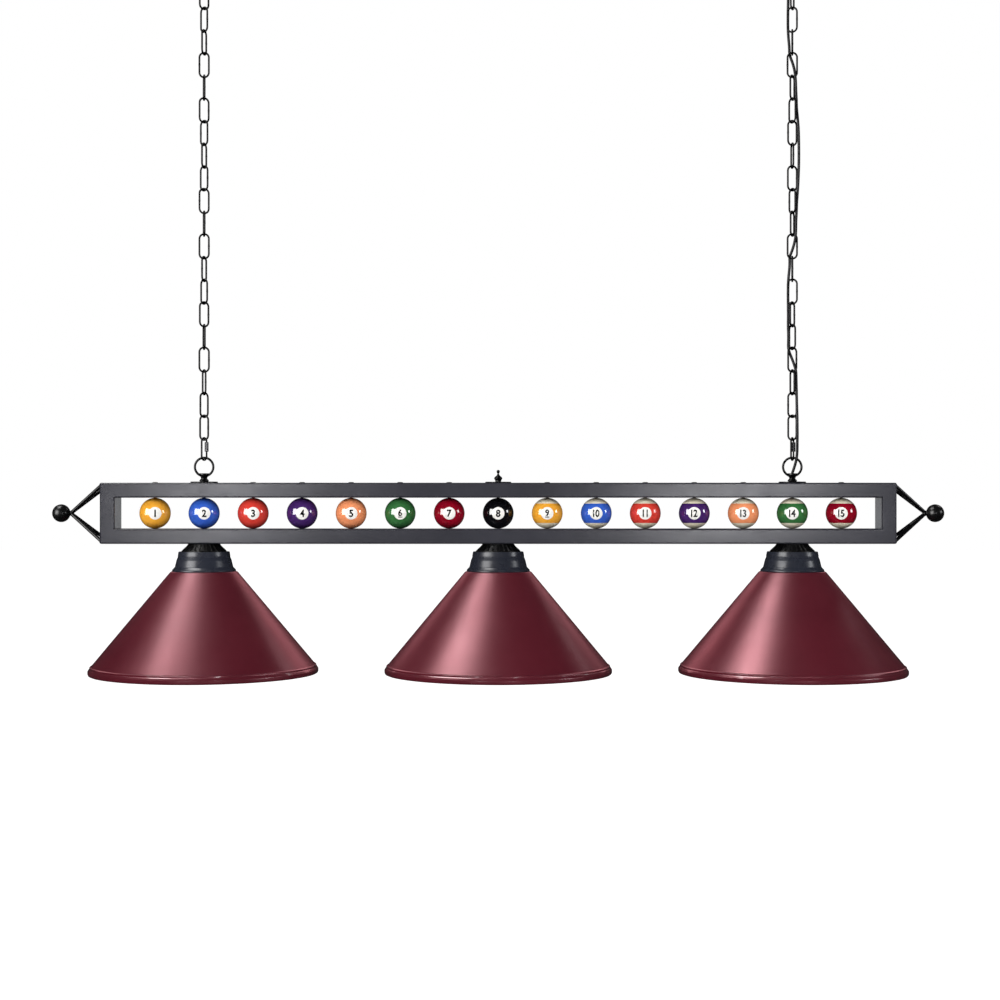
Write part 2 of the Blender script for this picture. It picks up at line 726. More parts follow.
def spoke(side, sign, number, y_sign, z_sign):
    """Rod from a corner of the beam's end to the hub, with its weld."""
    origin = Vector((HALF_L - 6, y_sign * (HALF_D - 2.8), z_sign * (HALF_H - 1.2)))
    tip = Vector((SPOKE_TIP_X, y_sign * 1.2, z_sign * 1.2))
    along = (tip - origin).normalized()
    foot = origin + along * ((SPOKE_FOOT_X - origin.x) / along.x)
    line = [foot + (tip - foot) * (k / 12) for k in range(13)]
    verts, faces = tube(line, SPOKE_R, 20, start_x=SPOKE_FOOT_X)
    verts = [(sign * x, y * sign, z) for x, y, z in verts]
    build(f"{side}_spoke_rod_{number}", (verts, faces), BLACK_PAINT, z=BEAM_Z)
    verts, faces = tube(*weld_ring(foot, along, number, sign), 8, closed=True)
    limit = HALF_H + 2.4
    verts = [(sign * x, y * sign, max(-limit, min(limit, z))) for x, y, z in verts]
    build(f"{side}_spoke_weld_{number}", (verts, faces), BLACK_PAINT, z=BEAM_Z)


def end_knob(side, sign):
    end = math.acos(KNOB_NECK_R / KNOB_R)
    profile = []
    for k in range(33):
        a = math.pi / 2 - (k / 32) * (math.pi / 2 + end)
        profile.append((KNOB_R * math.cos(a), KNOB_R * math.sin(a)))
    neck = [(KNOB_NECK_R, -KNOB_R * math.sin(end)), (4.3, -14.9, 0.25), (2.9, -14.9, 0.2),
            (2.9, -6.6), (0, -6.6)]
    profile += fillet(neck, 3, closed=False)[1:]
    build(side + "_end_ball", laid(lathe(profile, 64, closed=False), sign), KNOB_PAINT,
          x=sign * KNOB_X, z=BEAM_Z, replaces=side + "_end_knob")


for side, sign in (("left", -1), ("right", 1)):
    for number, (y_sign, z_sign) in enumerate(((-1, -1), (-1, 1), (1, -1), (1, 1)), 1):
        spoke(side, sign, number, y_sign, z_sign)
    hub = lathe(fillet(HUB, closed=False), 32, closed=False)
    build(side + "_spoke_hub", laid(hub, sign, HUB_START), BLACK_PAINT, z=BEAM_Z,
          replaces=side + "_spoke_bracket")
    end_knob(side, sign)


# ---------------------------------------------------------------- the row of numbered balls
BALL_KINDS = [      # name, darker and lighter colour; balls 9 to 15 repeat them striped
    ("yellow", srgb(246, 166, 48), srgb(250, 182, 66)),
    ("blue", srgb(48, 90, 194), srgb(60, 106, 212)),
    ("red", srgb(212, 58, 48), srgb(230, 72, 60)),
    ("purple", srgb(60, 32, 94), srgb(78, 42, 114)),
    ("orange", srgb(246, 146, 98), srgb(252, 162, 112)),
    ("green", srgb(46, 102, 54), srgb(60, 120, 66)),
    ("maroon", srgb(134, 5, 28), srgb(156, 10, 38)),
    ("black", srgb(6, 6, 9), srgb(12, 12, 16)),
]
DIGIT_HEIGHT = 12.4
DIGIT_PROUD, DIGIT_DEEP = 0.03, 0.5     # ink body, above and below the ball's surface
MERGE = 0.002


def text_mesh(text):
    """Flat digits in the XY plane as a bmesh, about one unit high."""
    curve = bpy.data.curves.new("number", "FONT")
    curve.body = text
    curve.size = 1.0
    curve.resolution_u = 8
    curve.offset = 0.031
    curve.space_character = 0.92
    holder = bpy.data.objects.new("number", curve)
    scene.collection.objects.link(holder)
    bpy.context.view_layer.update()
    graph = bpy.context.evaluated_depsgraph_get()
    flat = bpy.data.meshes.new_from_object(holder.evaluated_get(graph))
    bpy.data.objects.remove(holder)
    bpy.data.curves.remove(curve)
    digits = bmesh.new()
    digits.from_mesh(flat)
    bpy.data.meshes.remove(flat)
    return digits


def number_shape(text):
    """Digits wrapped on a ball, facing -Y, as a thin closed body."""
    digits = text_mesh(text)
    xs, ys = [v.co.x for v in digits.verts], [v.co.y for v in digits.verts]
    scale = DIGIT_HEIGHT / (max(ys) - min(ys))
    squeeze = 0.84 if len(text) > 1 else 0.95
    middle_x, middle_y = (max(xs) + min(xs)) / 2, (max(ys) + min(ys)) / 2
    for v in digits.verts:
        v.co = ((v.co.x - middle_x) * scale * squeeze, (v.co.y - middle_y) * scale, 0)
    if text in ("6", "9"):      # these are underlined
        for v in digits.verts:
            v.co *= 0.9
            v.co.y += 0.9
        bar = ((-3.3, -6.9), (3.3, -6.9), (3.3, -5.5), (-3.3, -5.5))
        digits.faces.new([digits.verts.new((x, y, 0)) for x, y in bar])
    bmesh.ops.remove_doubles(digits, verts=digits.verts, dist=MERGE)
    bmesh.ops.triangulate(digits, faces=digits.faces)
    bmesh.ops.dissolve_degenerate(digits, dist=MERGE, edges=digits.edges)
    # short edges let the digits follow the ball
    for _ in range(5):
        long = [e for e in digits.edges if e.calc_length() > 1.1]
        if not long:
            break
        bmesh.ops.subdivide_edges(digits, edges=long, cuts=1)
        bmesh.ops.triangulate(digits, faces=digits.faces)
        bmesh.ops.dissolve_degenerate(digits, dist=MERGE, edges=digits.edges)
    for face in digits.faces:
        if face.normal.z < 0:
            face.normal_flip()
    digits.verts.index_update()

    verts = []
    for radius in (BALL_R + DIGIT_PROUD, BALL_R - DIGIT_DEEP):
        for v in digits.verts:
            depth = math.sqrt(max(BALL_R ** 2 - v.co.x ** 2 - v.co.y ** 2, 1.0))
            verts.append(tuple(Vector((v.co.x, -depth, v.co.y)).normalized() * radius))
    faces = two_layers(digits)
    digits.free()
    return verts, faces


def ball(number, x):
    kind, dark, light = BALL_KINDS[(number - 1) % 8]
    name = f"ball_{number:02d}"
    body = body_of(name)
    material = ball_resin(kind, dark, light, striped=number > 8)
    turn = math.atan2(-x, EYE_DISTANCE)     # each number is turned a little to the middle
    end = math.acos(BALL_BORE / BALL_R)
    angles = [-end + 2 * end * k / 44 for k in range(45)]
    profile = [(BALL_R * math.cos(a), BALL_R * math.sin(a)) for a in angles]
    build(name + "_resin", lathe(profile, 80), material, body, x=x, z=BEAM_Z,
          turn=turn, sharp=40, settle=False, replaces=name)
    shape = number_shape(str(number))
    for face, extra in (("front", 0), ("back", math.pi)):
        build(f"{name}_number_{face}", shape, INK, body, x=x, z=BEAM_Z,
              turn=turn + extra, sharp=40, settle=False)


for number, x in enumerate(BALL_X, 1):
    ball(number, x)


# ---------------------------------------------------------------- loops, plates and canopies
LOOP_BOSS = [       # r, height from the ring's centre, rounding
    (3.1, -46.4), (5, -46.4, 0.4), (5, -24.3, 0.15), (7.4, -24.3, 0.25), (7.9, -23, 0.6),
    (7.1, -21.5, 0.6), (4.85, -19.4, 1.2), (5.9, -16.8, 1.5), (7.9, -13.4, 0.9),
    (7.9, -10.6, 0.5), (3.1, -10.6, 0.3),
]
HANGER_PLATE = [(5.3, 0), (22.6, 0, 0.2), (23, 0.7, 0.5), (22.2, 1.8, 0.5), (5.3, 1.8)]
CENTRE_PLATE = [(2.9, 0), (21.6, 0, 0.2), (22, 0.7, 0.4), (21.3, 1.5, 0.5), (2.9, 1.5)]
FINIAL = [          # r, height from 1.8 over the centre plate's foot, rounding
    (0, -10), (2.5, -10), (2.5, 0), (5.15, 0, 0.4), (5.15, 2, 0.5), (7.1, 5.4, 1.2),
    (5.9, 7.6, 1.0), (2.6, 10.4, 2.0), (1.05, 13.6, 1.2), (2.5, 15.3, 1.0), (2.8, 17.2, 1.3),
    (2.2, 19.0, 0.9), (0, 19.9),
]


def screw_loop(name, node, x, ring_z, sign, body):
    """Turned boss with a wire ring; sign 1 has the ring on top, -1 below."""
    build(name + "_boss", lathe(fillet(raised(LOOP_BOSS, ring_z, sign), 5), 48), BLACK_PAINT,
          body=body, x=x, replaces=node)
    # the ring is bent wire with its ends let into the boss
    points, count = [], 60
    gap = math.radians(14)
    for k in range(count + 1):
        a = -math.pi / 2 + gap + (2 * math.pi - 2 * gap) * k / count
        points.append((RING_R * math.cos(a), 0, sign * RING_R * math.sin(a)))
    build(name + "_ring", tube(points, RING_WIRE, 16), BLACK_PAINT, body=body, x=x, z=ring_z)


def canopy(side, x):
    z = CANOPY_Z
    profile = fillet([
        (5.3, z), (30, z, 9), (52, z + 5.8, 9), (62, z + 15.8, 8),
        (63.5, CEILING_Z - 0.6, 0.4), (63.1, CEILING_Z), (62.1, CEILING_Z),
        (60.6, z + 16.4, 6), (51.4, z + 7.1, 8), (29.8, z + 1.3, 8), (5.3, z + 1.3),
    ], 6)
    build(side + "_canopy_dome", lathe(profile, 96), BLACK_PAINT, body="ceiling_set", x=x,
          replaces=side + "_canopy")


def rounded(centre_x, half_x, half_y, radius, steps=6):
    """Outline of a rounded rectangle centred on the X axis."""
    out = []
    in_x, in_y = half_x - radius, half_y - radius
    for x, y, start in ((in_x, in_y, 0), (-in_x, in_y, 90), (-in_x, -in_y, 180),
                        (in_x, -in_y, 270)):
        for k in range(steps + 1):
            t = math.radians(start + 90 * k / steps)
            out.append((centre_x + x + radius * math.cos(t), y + radius * math.sin(t)))
    return out


def crossbar(side, x):
    """Flat bar with rounded corners, two slots and a round hole."""
    node = side + "_ceiling_strap"
    low_corner, high_corner = low(node), high(node)
    length, width, thick = (b - a for a, b in zip(low_corner, high_corner))
    hole = [2 * math.pi * k / 32 for k in range(32)]
    outlines = [
        rounded(0, length / 2, width / 2, 3.0),
        rounded(40.45, 4.5, 2.5, 2.4),
        rounded(-40.45, 4.5, 2.5, 2.4),
        [(5.3 * math.cos(a), 5.3 * math.sin(a)) for a in hole],
    ]
    sheet = bmesh.new()
    edges = []
    for outline in outlines:
        loop = [sheet.verts.new((px, py, 0)) for px, py in outline]
        edges += [sheet.edges.new((v, loop[(k + 1) % len(loop)])) for k, v in enumerate(loop)]
    bmesh.ops.triangle_fill(sheet, use_beauty=True, use_dissolve=False, edges=edges)
    sheet.verts.index_update()
    verts = [(v.co.x, v.co.y, z) for z in (0, thick) for v in sheet.verts]
    faces = two_layers(sheet)
    sheet.free()
    build(side + "_crossbar", (verts, faces), STEEL, "ceiling_set", x=x,
          z=low_corner[2], replaces=node)


for side, x in SIDE_X.items():
    screw_loop(side + "_hanger", side + "_hanger_loop", x, RING_Z, 1, "fixture")
    screw_loop(side + "_ceiling", side + "_canopy_loop", x, TOP_RING_Z, -1, "ceiling_set")
    node = side + "_hanger_plate"
    build(side + "_plate", lathe(fillet(raised(HANGER_PLATE, low(node)[2])), 72), BLACK_PAINT,
          x=x, replaces=node)
    canopy(side, x)

plate_z = low("centre_plate")[2]
build("centre_cover_plate", lathe(fillet(raised(CENTRE_PLATE, plate_z)), 64), BLACK_PAINT,
      replaces="centre_plate")
finial = fillet(raised(FINIAL, plate_z + 1.8), 5, closed=False)
build("centre_finial_turned", lathe(finial, 48, closed=False), BLACK_PAINT,
      replaces="centre_finial")

for side, x in SIDE_X.items():
    crossbar(side, x)


# ---------------------------------------------------------------- chains
TWIST = {           # turn of each link about Z in degrees, from the bottom
    "left": [-22, 48, -62, 8, -71, 35, -41, 74, 0, -74, 24, -34, 73, -36, 28, -74, 0, 74, -39,
             34, -30],
    "right": [-41, 20, -75, 20, -62, 55, -22, 82, 0, 60, -62, 12, -86, 18, -59, 56, -6, 79,
              -22, 62, -10],
}


def bend(radius, z, start, steps, first=0):
    """Half circle in the XZ plane about (0, z)."""
    angles = [start + math.pi * k / steps for k in range(first, steps + 1)]
    return [(radius * math.cos(a), 0, z + radius * math.sin(a)) for a in angles]


def chain_link(name, x, z_low, z_high, turn, body, replaces=None):
    """Wire loop, starting and ending in the middle of its +X leg, which carries the weld."""
    radius = LINK_W / 2
    straight = (z_high - z_low) / 2 - radius
    steps = 6
    points = [(radius, 0, straight * k / steps) for k in range(steps)]
    points += bend(radius, straight, 0, 14)
    points += [(-radius, 0, straight * (1 - k / steps)) for k in range(1, 2 * steps)]
    points += bend(radius, -straight, math.pi, 14)
    points += [(radius, 0, straight * (k / steps - 1)) for k in range(1, steps)]
    radii = []
    for px, _, pz in points:
        swell = math.exp(-(pz / 1.5) ** 2) if abs(px - radius) < 0.01 else 0
        radii.append(WIRE + 0.22 * swell)
    build(name, tube(points, radii, 12, closed=True), CHAIN_PAINT, body, x=x,
          z=(z_low + z_high) / 2, turn=math.radians(turn), settle=False, replaces=replaces)


def chain(side, x):
    body = body_of(side + "_chain")
    for k, turn in enumerate(TWIST[side]):
        z_low = CHAIN_Z0 + k * PITCH - WIRE - (PLAY if k == 0 else 0)
        z_high = CHAIN_Z0 + (k + 1) * PITCH + WIRE + (PLAY if k == LINKS - 1 else 0)
        # a link may face either way, which puts its weld on the other leg
        flip = 180 if k % 3 == 1 else 0
        chain_link(f"{side}_link_{k + 1:02d}", x, z_low, z_high, turn + flip, body,
                   replaces=side + "_chain" if k == 0 else None)
    node = side + "_top_link"
    chain_link(side + "_link_top", x, CHAIN_Z1 - WIRE - PLAY, CHAIN_Z1 + PITCH + WIRE + PLAY,
               90, body_of(node), replaces=node)


def quick_link(side, x):
    """A loop with a gap, threaded on both sides of it, closed by a sleeve nut."""
    z_low, z_high = RING_Z + RING_R - RING_WIRE - WIRE - 2 * PLAY, CHAIN_Z0 + WIRE + PLAY
    centre = (z_low + z_high) / 2
    radius = QUICK_W / 2
    top, bottom = z_high - radius, z_low + radius
    points, radii = [], []

    def threaded_leg(start, stop, step):
        count = max(2, int(abs(stop - start) / step))
        for k in range(count + 1):
            z = start + (stop - start) * k / count
            points.append((radius, 0, z - centre))
            radii.append(WIRE - 0.12 + 0.1 * math.cos(2 * math.pi * z / 0.8))

    threaded_leg(QUICK_GAP[1], top, step=0.4)
    plain = bend(radius, top - centre, 0, 18, first=1)
    plain += [(-radius, 0, top - centre + (bottom - top) * k / 10) for k in range(1, 10)]
    plain += bend(radius, bottom - centre, math.pi, 18)
    points += plain
    radii += [WIRE] * len(plain)
    threaded_leg(bottom + 0.3, QUICK_GAP[0], step=0.25)
    turn = math.radians(QUICK_TURN)
    node = side + "_quick_link"
    build(side + "_quick_link_loop", tube(points, radii, 14, first=(0, 1, 0)), CHAIN_PAINT,
          body_of(node), x=x, z=centre, turn=turn, sharp=50, settle=False,
          replaces=node)

    # hexagon sleeve nut with turned ends
    profile = fillet(raised([
        (2.1, 372.2, 0.1), (2.9, 372.2, 0.15), (3.3, 373.0, 0.1), (3.3, 387.4, 0.1),
        (2.9, 388.2, 0.15), (2.1, 388.2, 0.1)], -centre), 3)

    def flats(row, angle, r, z):
        return (min(r, 2.86 / hexagon(angle)) if r > 2.5 else r), z

    verts, faces = lathe(profile, 60, warp=flats)
    verts = [(px + radius, py, pz) for px, py, pz in verts]
    node = side + "_quick_link_sleeve"
    build(side + "_sleeve_nut", (verts, faces), SLEEVE_PAINT, body_of(node),
          x=x, z=centre, turn=turn, sharp=25, replaces=node)


for side, x in SIDE_X.items():
    chain(side, x)
    quick_link(side, x)


# ---------------------------------------------------------------- supply cord
CORD = [            # x and y from the right chain's axis, z
    (0, 0, 306), (0, 0, 330), (0.1, -0.05, 336), (1.26, -.83, 340), (2.48, -1.65, 344),
    (3.61, -2.48, 348), (4.63, -3.29, 352), (5.5, -4.09, 356), (6.18, -4.83, 360),
    (6.62, -5.42, 364), (6.88, -5.95, 368), (7.01, -6.46, 372), (7.04, -6.96, 376),
    (7.03, -7.46, 380), (6.99, -7.95, 384), (6.94, -8.45, 388), (6.9, -8.93, 392),
    (6.88, -9.38, 396), (6.86, -9.74, 400), (6.81, -9.86, 404), (6.72, -9.88, 412),
    (6.67, -9.8, 420), (6.61, -9.47, 428), (6.51, -8.82, 436), (6.41, -8.13, 444),
    (6.32, -7.42, 452), (6.25, -6.72, 460), (6.21, -6.01, 468), (6.16, -5.34, 476),
    (6.05, -4.73, 484), (5.97, -4.13, 492), (5.91, -3.53, 500), (5.49, -2.82, 508),
    (3.6, -1.69, 516), (1.05, -0.47, 524), (-1.84, 0.76, 532), (-4.74, 1.9, 540),
    (-6.3, 2.35, 548), (-6.22, 2.44, 556), (-6.1, 2.53, 564), (-6.19, 2.63, 572),
    (-6.47, 2.77, 580), (-6.49, 3.26, 588), (-6.22, 4.08, 596), (-6.07, 4.95, 604),
    (-6.0, 5.83, 612), (-5.93, 6.68, 620), (-5.86, 7.37, 628), (-5.9, 7.48, 636),
    (-5.87, 7.45, 644), (-5.71, 7.37, 652), (-5.42, 7.03, 660), (-4.95, 6.49, 668),
    (-4.27, 5.93, 676), (-3.66, 5.36, 684), (-3.55, 4.73, 692), (-3.58, 3.73, 700),
    (-0.9, 1.94, 708), (1.63, 0.02, 716), (3.45, -1.91, 724), (4.6, -3.71, 732),
    (5.16, -4.46, 740), (5.39, -4.18, 748), (5.59, -3.77, 756), (5.93, -3.34, 764),
    (6.46, -2.94, 772), (6.8, -2.83, 780), (6.98, -3.02, 788), (7.41, -3.23, 796),
    (7.96, -3.43, 804), (8.51, -3.61, 812), (8.96, -3.76, 820), (9.34, -3.9, 828),
    (9.66, -4.0, 836), (9.95, -4.08, 844), (10.19, -4.14, 852), (10.32, -4.16, 860),
    (10.37, -4.15, 868), (10.38, -4.11, 876), (10.34, -4.04, 884), (10.26, -3.94, 892),
    (10.14, -3.81, 900), (9.95, -3.66, 908), (9.6, -3.47, 916), (9.08, -3.26, 924),
    (8.43, -3.03, 932), (7.73, -2.78, 940), (7.12, -2.52, 948), (6.75, -2.26, 956),
    (6.6, -2.15, 964), (6.06, -2.65, 972), (5.6, -3.3, 980), (5.25, -3.96, 988),
    (4.79, -4.57, 996), (4.06, -4.71, 1004), (3.27, -2.98, 1012), (1.93, -0.79, 1020),
    (-0.02, 1.44, 1028), (-2.47, 3.58, 1036), (-3.84, 4.93, 1044), (-4.08, 5.5, 1052),
    (-4.57, 5.97, 1060), (-5.18, 6.43, 1068), (-5.68, 6.88, 1076), (-5.97, 7.3, 1084),
    (-6.08, 7.52, 1092), (-6.1, 7.52, 1100), (-6.05, 7.46, 1108), (-5.97, 7.32, 1116),
    (-5.88, 7.14, 1124), (-5.79, 6.95, 1132), (-5.73, 6.77, 1140), (-5.69, 6.59, 1148),
    (-5.61, 6.4, 1156), (-5.43, 6.22, 1164), (-5.09, 6.04, 1172), (-4.75, 5.86, 1180),
    (-4.6, 5.7, 1190), (-4.6, 5.5, 1202), (-4.6, 5.3, 1215), (-4.6, 5.1, 1228),
    (-4.3, 4.7, 1236), (-3.1, 3.4, 1243), (-1.3, 1.4, 1249.5), (-0.3, 0.3, 1254.5),
    (0, 0, 1259), (0, 0, 1285),
]
CORD_LENGTHS = [    # name, z range, bodies it blends between, blend z range, CAD node
    ("cord_tail_jacket", (300, 382), ("fixture", "right_bottom_hook"), (352, 376),
     "cord_tail"),
    ("cord_run_jacket", (382, 1165), ("right_bottom_hook", "right_chain_run"), (386, 406),
     "power_cord"),
    ("cord_upper_jacket", (1165, 1212), ("right_chain_run", "right_top_hook"), (1178, 1204),
     None),
    ("cord_top_jacket", (1212, 1290), ("right_top_hook", "ceiling_set"), (1216, 1246), None),
]


def cord():
    line = catmull(CORD, step=2.2)
    x = SIDE_X["right"]
    for name, (z_low, z_high), bodies, blend_z, node in CORD_LENGTHS:
        part = [p for p in line if z_low <= p.z <= z_high]
        # neighbouring lengths share their end ring
        part += [p for p in line if p.z > z_high][:1]
        piece = build(name, tube(part, CORD_R, 14, first=(1, 0, 0)), CORD_VINYL,
                      body=None, x=x)
        start, end = ((x * MM, 0, z * MM) for z in blend_z)
        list(bodies)
        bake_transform(piece)
        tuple(start)
        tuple(end)
        if node:
            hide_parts(node)


cord()


# ---------------------------------------------------------------- the three lamps
VENTS = 26
VENT_ROWS = range(5, 9)     # profile rows on the outer slope, past the rounded top edge
CUP = [             # r, height from the shoulder, rounding
    (5.3, 0), (41, 0, 0.4), (41.6, 0.6, 0.3), (42.5, 0.5, 0.5), (43.7, -6.5, 0.7),
    (43.5, -8.1, 0.5), (45.8, -13.7, 4.0), (47.4, -20.5, 4.0), (48.5, -25.1, 3.0),
    (51.1, -27.9, 1.2), (52.5, -29.2, 0.5), (53.15, -30.4, 0.7), (53.1, -32.5, 0.3),
    (51.7, -32.5, 0.3), (47.1, -25.5, 2.0), (44.2, -13.7, 2.0), (41.1, -1.5, 0.8),
    (5.3, -1.5),
]
LIP_R = 184         # the rolled lip lies outside this radius
LIP_PHASE = {"left": 0.0, "middle": 2.1, "right": 4.4}
GLASS = [           # r, height from the bottom of the bulb
    (0, 0), (4, 0.35), (9, 1.6), (14, 4.2), (19, 8.0), (23.6, 13.4), (27.2, 19.6),
    (29.3, 26.4), (30, 33.5), (29.2, 40.8), (27, 48.0), (24, 54.2), (20.8, 60.2),
    (18.1, 65.6), (16.0, 71.0), (14.6, 75.6), (13.6, 78.0), (12.7, 78.4), (0, 78.4),
]


def ends(node):
    return low(node)[2], high(node)[2]


def vent_cap(side, x):
    """Pressed cap with vent slots between the beam and the cup."""
    node = side + "_vent_cap"
    z0, z1 = ends(node)
    outer = [
        (26.3, z1, 0.5), (28.9, z1 - 3.8), (30.6, z1 - 5.35), (32.4, z1 - 6.95),
        (34.4, z1 - 8.8), (37.2, z1 - 11.7, 1.0), (37.5, z0 + 0.4, 0.2), (37.2, z0, 0.2),
        (35.7, z0, 0.3),
    ]
    inner = [(32.8, z1 - 9.6, 1.0), (27.0, z1 - 4.6, 1.0), (24.9, z1 - 1.8, 0.4),
             (5.3, z1 - 1.8), (5.3, z1)]

    def slots(row, angle, r, z):
        across = (angle * VENTS / (2 * math.pi)) % 1
        if row in VENT_ROWS and 0.28 < across < 0.72:
            return r - 0.9, z - 1.0
        return r, z

    build(side + "_vent_ring", lathe(fillet(outer + inner), 8 * VENTS, warp=slots),
          VENT_PAINT, x=x, sharp=30, replaces=node)


def shade(side, x):
    """Spun cone with a flat top and a double-beaded lip."""
    node = side + "_shade"
    top = high(node)[2]
    corners_out = [
        (5.3, top), (54.8, top, 0.9), (56.3, top - 0.9, 0.7), (185.2, 14.6, 0.5),
        (187.6, 13.6, 1.4), (188.3, 10.9, 0.6), (189.4, 9.7, 0.5), (191.25, 6.8, 2.0),
        (191.25, 2.5, 1.6), (190.1, 0.1, 0.5),
    ]
    corners_in = [
        (189.0, 0.1, 0.5), (189.7, 2.8, 1.3), (189.7, 6.3, 1.5), (188.2, 8.7, 0.6),
        (186.8, 10.2, 0.6), (186.1, 12.2, 0.8), (184.0, 13.3, 0.4), (55.6, top - 2.0, 0.8),
        (54.2, top - 1.4, 0.6), (5.3, top - 1.4),
    ]
    cone = fillet(corners_out + corners_in, 5)
    # rows across the long cone keep its quads short
    profile = []
    for (r, z), (next_r, next_z) in zip(cone, cone[1:] + cone[:1]):
        parts = int(math.hypot(next_r - r, next_z - z) // 14) + 1
        profile += [(r + (next_r - r) * k / parts, z + (next_z - z) * k / parts)
                    for k in range(parts)]
    phase = LIP_PHASE[side]

    def rolled(row, a, r, z):
        """The rolled lip is not perfectly even."""
        if z > 12.5 or r < LIP_R:
            return r, z
        wave = (0.5 * math.sin(17 * a + phase) + 0.3 * math.sin(29 * a + 2 * phase)
                + 0.2 * math.sin(7 * a))
        return r - 0.30 + 0.28 * wave, z + (0.2 * wave if 2 < z < 11 else 0)

    def outside_or_in(centre, normal):
        r = math.hypot(centre.x, centre.y)
        if r < LIP_R:
            outside = normal.z > 0.05
        else:
            outside = (normal.x * centre.x + normal.y * centre.y) / r > -0.2
        return 0 if outside else 1

    build(side + "_cone", lathe(profile, 240, warp=rolled), [SHADE_OUT, SHADE_IN],
          x=x, sharp=50, pick=outside_or_in, replaces=node)


def nipple(side, x):
    """Hollow threaded rod that carries the lamp."""
    node = side + "_nipple"
    z0, z1 = ends(node)
    profile = [(3.2, z1), (4.6, z1)]
    for k in range(2 * int(z1 - z0 - 1)):
        profile.append((5.0 if k % 2 else 4.62, z1 - 0.5 - k * 0.5))
    profile += [(4.6, z0), (3.2, z0)]
    build(side + "_threaded_nipple", lathe(profile, 24), STEEL, x=x, sharp=60,
          replaces=node)


def socket(side, x):
    """Moulded socket with two grooves round it."""
    node = side + "_socket"
    z0, z1 = ends(node)
    profile = fillet([
        (5.3, z1), (14, z1, 1.0), (18.6, z1 - 4.9, 1.2), (19, z1 - 12, 0.4),
        (18.2, z1 - 12.8, 0.4), (18.2, z1 - 14.6, 0.4), (19, z1 - 15.4, 0.4),
        (19, z0 + 9.5, 0.4), (18.2, z0 + 8.9, 0.4), (18.2, z0 + 7.3, 0.4),
        (19, z0 + 6.7, 0.4), (19, z0 + 1.4, 0.8), (18, z0, 0.6), (14.4, z0, 0.5),
        (14.4, z1 - 12.1), (5.3, z1 - 12.1),
    ])
    build(side + "_socket_body", lathe(profile, 72), PHENOLIC, x=x,
          replaces=node)


def bulb(side, x):
    """Opal glass with a screw cap."""
    node = side + "_bulb"
    body = body_of(node)
    z0, z1 = ends(node)
    build(side + "_bulb_glass", lathe(raised(GLASS, z0), 64, closed=False), OPAL,
          body, x=x, replaces=node)
    start = z0 + 76.9
    profile = [(0, start), (13.05, start, 0.1), (13.1, start + 3.4, 0.3)]
    for k in range(5):
        z = start + 4.6 + k * 3.4
        profile += [(12.35, z, 0.8), (13.1, z + 1.7, 0.8)]
    profile += [(12.2, start + 22.4, 0.6), (9.6, z1 - 4.2, 1.4), (6.0, z1 - 1.7, 0.8),
                (4.6, z1 - 1.2, 0.3), (4.4, z1 - 0.1, 0.5), (0, z1)]
    build(side + "_bulb_cap", lathe(fillet(profile, closed=False), 48, closed=False),
          CAP_METAL, body, x=x)


for side, x in SHADE_X.items():
    vent_cap(side, x)
    node = side + "_fitter_cup"
    build(side + "_cup", lathe(fillet(raised(CUP, high(node)[2] - 0.6), 5), 112), CUP_PAINT,
          x=x, sharp=40, replaces=node)
    shade(side, x)
    nipple(side, x)
    socket(side, x)
    bulb(side, x)


def settle_normals():
    """Keeps flat faces flat next to their rounded edges, by weighted normals."""
    for piece in to_settle:
        modifier = piece.modifiers.new("settle", "WEIGHTED_NORMAL")
        modifier.keep_sharp = True
        modifier.weight = 60
    graph = bpy.context.evaluated_depsgraph_get()
    for piece in to_settle:
        fresh = bpy.data.meshes.new_from_object(piece.evaluated_get(graph),
                                                preserve_all_data_layers=True, depsgraph=graph)
        old = piece.data
        piece.modifiers.clear()
        piece.data = fresh
        fresh.name = old.name
        bpy.data.meshes.remove(old)


settle_normals()


# ---------------------------------------------------------------- floor, world, light, camera
AIM = Vector((0, 0, 0.35))


def floor():
    """Pale floor that also glows a little, to the camera only."""
    mesh = bpy.data.meshes.new("floor")
    work = bmesh.new()
    bmesh.ops.create_grid(work, x_segments=8, y_segments=8, size=60)
    work.to_mesh(mesh)
    work.free()
    piece = bpy.data.objects.new("floor", mesh)
    scene.collection.objects.link(piece)
    piece.location = (0, 0, -1.6)
    piece.visible_glossy = False
    mat = Material("pale_floor")
    seen = mat.add("LightPath").outputs["Is Camera Ray"]
    tone = mat.mix(mat.noise(0.6), (0.80, 0.80, 0.80, 1), (0.84, 0.84, 0.84, 1))
    mesh.materials.append(mat.set(colour=tone, rough=0.9, spec=0.0, glow=mat.times(seen, 0.9),
                                  glow_colour=(1, 1, 1, 1)))


def studio_world():
    """White surroundings whose strength depends on the kind of ray."""
    world = bpy.data.worlds.new("studio")
    scene.world = world
    world.use_nodes = True
    nodes, links = world.node_tree.nodes, world.node_tree.links
    nodes.clear()
    out = nodes.new("ShaderNodeOutputWorld")
    back = nodes.new("ShaderNodeBackground")
    path = nodes.new("ShaderNodeLightPath")
    strength = None
    for ray, value in (("Camera", 1.0), ("Glossy", 0.03), ("Diffuse", 0.32)):
        part = nodes.new("ShaderNodeMath")
        part.operation = "MULTIPLY"
        links.new(path.outputs[f"Is {ray} Ray"], part.inputs[0])
        part.inputs[1].default_value = value
        if strength is None:
            strength = part.outputs[0]
        else:
            total = nodes.new("ShaderNodeMath")
            total.operation = "MAXIMUM"
            links.new(strength, total.inputs[0])
            links.new(part.outputs[0], total.inputs[1])
            strength = total.outputs[0]
    links.new(strength, back.inputs["Strength"])
    back.inputs["Color"].default_value = (1, 1, 1, 1)
    links.new(back.outputs[0], out.inputs[0])


